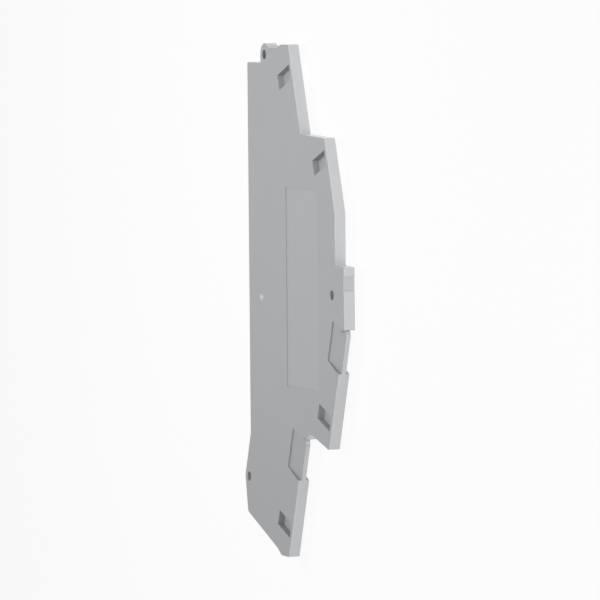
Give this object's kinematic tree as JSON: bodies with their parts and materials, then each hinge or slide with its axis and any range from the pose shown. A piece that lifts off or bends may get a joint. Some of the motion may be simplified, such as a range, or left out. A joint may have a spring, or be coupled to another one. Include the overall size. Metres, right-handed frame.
{
  "type": "terminal block end cover",
  "caption": "Thin stepped plastic plate that closes the open side of the last terminal block in a row, with press-in pegs behind and shallow pockets in front.",
  "frame": {"origin": "under the middle of the plan's bounding box, at the height of the pegs' tips", "axes": "+X runs down the base edge from the shoulder end to the toe end, +Y from the base edge towards the levels, +Z out of the front face"},
  "size_m": [0.0958, 0.0504, 0.0037],
  "materials": {
    "moulding": "light grey polyamide with a fine matt mould texture"
  },
  "bodies": {
    "root": {"end_cover": "moulding"}
  },
  "joints": []
}
